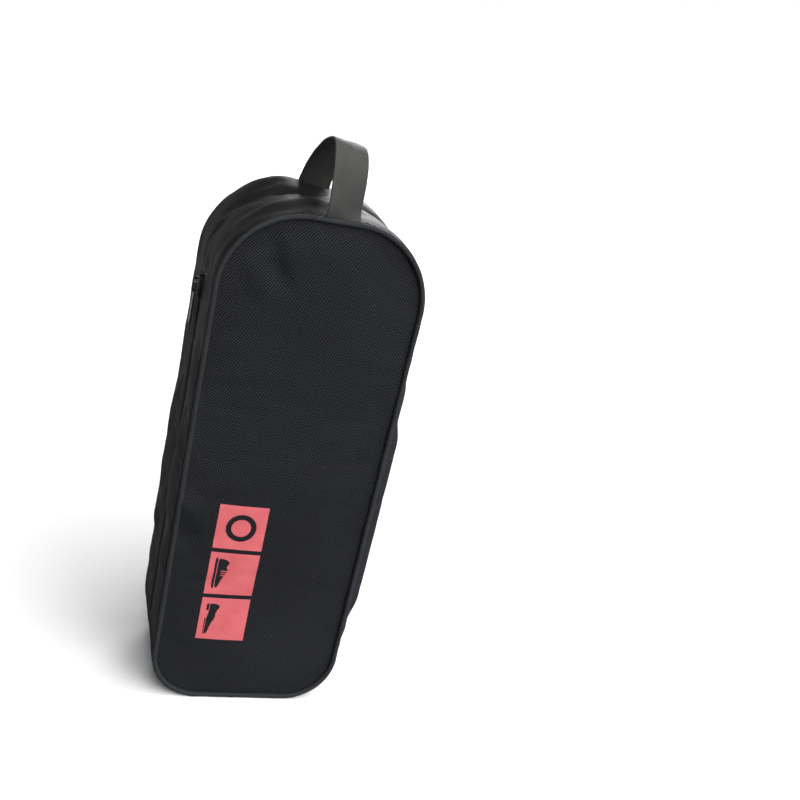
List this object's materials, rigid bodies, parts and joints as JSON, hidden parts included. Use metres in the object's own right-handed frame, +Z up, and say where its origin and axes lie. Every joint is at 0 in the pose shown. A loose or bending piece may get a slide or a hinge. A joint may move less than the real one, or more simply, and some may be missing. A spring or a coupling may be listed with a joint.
{
  "type": "shoe bag",
  "caption": "Upright soft travel bag for a pair of shoes: woven cloth face, clear rear window, piped seams, side zipper with opening lips and a webbing loop handle.",
  "frame": {"origin": "middle of the bottom gusset, on the surface the bag stands on", "axes": "+Z up, -Y out of the cloth face, +Y out of the clear window, -X out of the zipper side"},
  "size_m": [0.1506, 0.102, 0.4237],
  "materials": {
    "oxford_cloth": "coarse basket-woven polyester, blue-black, slight sheen",
    "nylon_cloth": "smooth thin black nylon, finely creased",
    "piping_cloth": "coarse woven black polyester folded over the piping cord",
    "piping_core": "extruded soft plastic cord, hidden in its cover",
    "clear_vinyl": "clear flexible vinyl sheet, glossy, faint violet-blue tint",
    "binding_tape": "thin black woven tape over the seam allowance",
    "zipper_tape": "fine herringbone zipper tape, black",
    "zipper_coil": "black nylon coil",
    "slider_metal": "black enamel on cast zinc, worn slightly at the edges",
    "webbing": "twill-woven black polypropylene webbing",
    "print_film": "matt coral-red heat-transfer film"
  },
  "bodies": {
    "bag": {"front_panel": "oxford_cloth", "rear_window": "clear_vinyl", "upper_gusset": "nylon_cloth", "lower_gusset": "oxford_cloth", "front_piping_cover": "piping_cloth", "front_piping_cord": "piping_core", "rear_piping_cover": "piping_cloth", "rear_piping_cord": "piping_core", "front_seam_binding": "binding_tape", "rear_seam_binding": "binding_tape", "print_squares": "print_film"},
    "front_lip": {"front_zip_strip": "nylon_cloth", "front_zip_tape": "zipper_tape", "front_zip_coil": "zipper_coil"},
    "rear_lip": {"rear_zip_strip": "nylon_cloth", "rear_zip_tape": "zipper_tape", "rear_zip_coil": "zipper_coil"},
    "zip_slider": {"slider_body": "slider_metal", "slider_bridge": "slider_metal"},
    "zip_pull": {"pull_tab": "slider_metal"},
    "handle": {"handle_webbing": "webbing"}
  },
  "joints": [
    {"name": "zip_slide", "type": "slide", "parent": "bag", "child": "zip_slider", "axis": [-0.0089, 0, 1], "range_m": [-0.24, 0]},
    {"name": "pull_swing", "type": "hinge", "parent": "zip_slider", "child": "zip_pull", "pos_m": [-0.07613, 0, 0.30592], "axis": [0, 1, 0], "range_deg": [0, 170]},
    {"name": "front_lip_swing", "type": "hinge", "parent": "bag", "child": "front_lip", "pos_m": [-0.06906, -0.0466, 0.044], "axis": [-0.0089, 0, 1], "range_deg": [0, 70], "deforming": ["front_zip_tape", "front_zip_coil"]},
    {"name": "rear_lip_swing", "type": "hinge", "parent": "bag", "child": "rear_lip", "pos_m": [-0.06906, 0.0466, 0.044], "axis": [0.0089, 0, -1], "range_deg": [0, 70], "deforming": ["rear_zip_tape", "rear_zip_coil"]},
    {"name": "handle_swing", "type": "hinge", "parent": "bag", "child": "handle", "pos_m": [0, 0, 0.3881], "axis": [0, 1, 0], "range_deg": [-60, 60], "stiffness_Nm_per_rad": 0.01}
  ],
  "couplings": [
    {"joint": "front_lip_swing", "follows": "zip_slide", "rad_per_m": -5.08},
    {"joint": "rear_lip_swing", "follows": "zip_slide", "rad_per_m": -5.08}
  ]
}
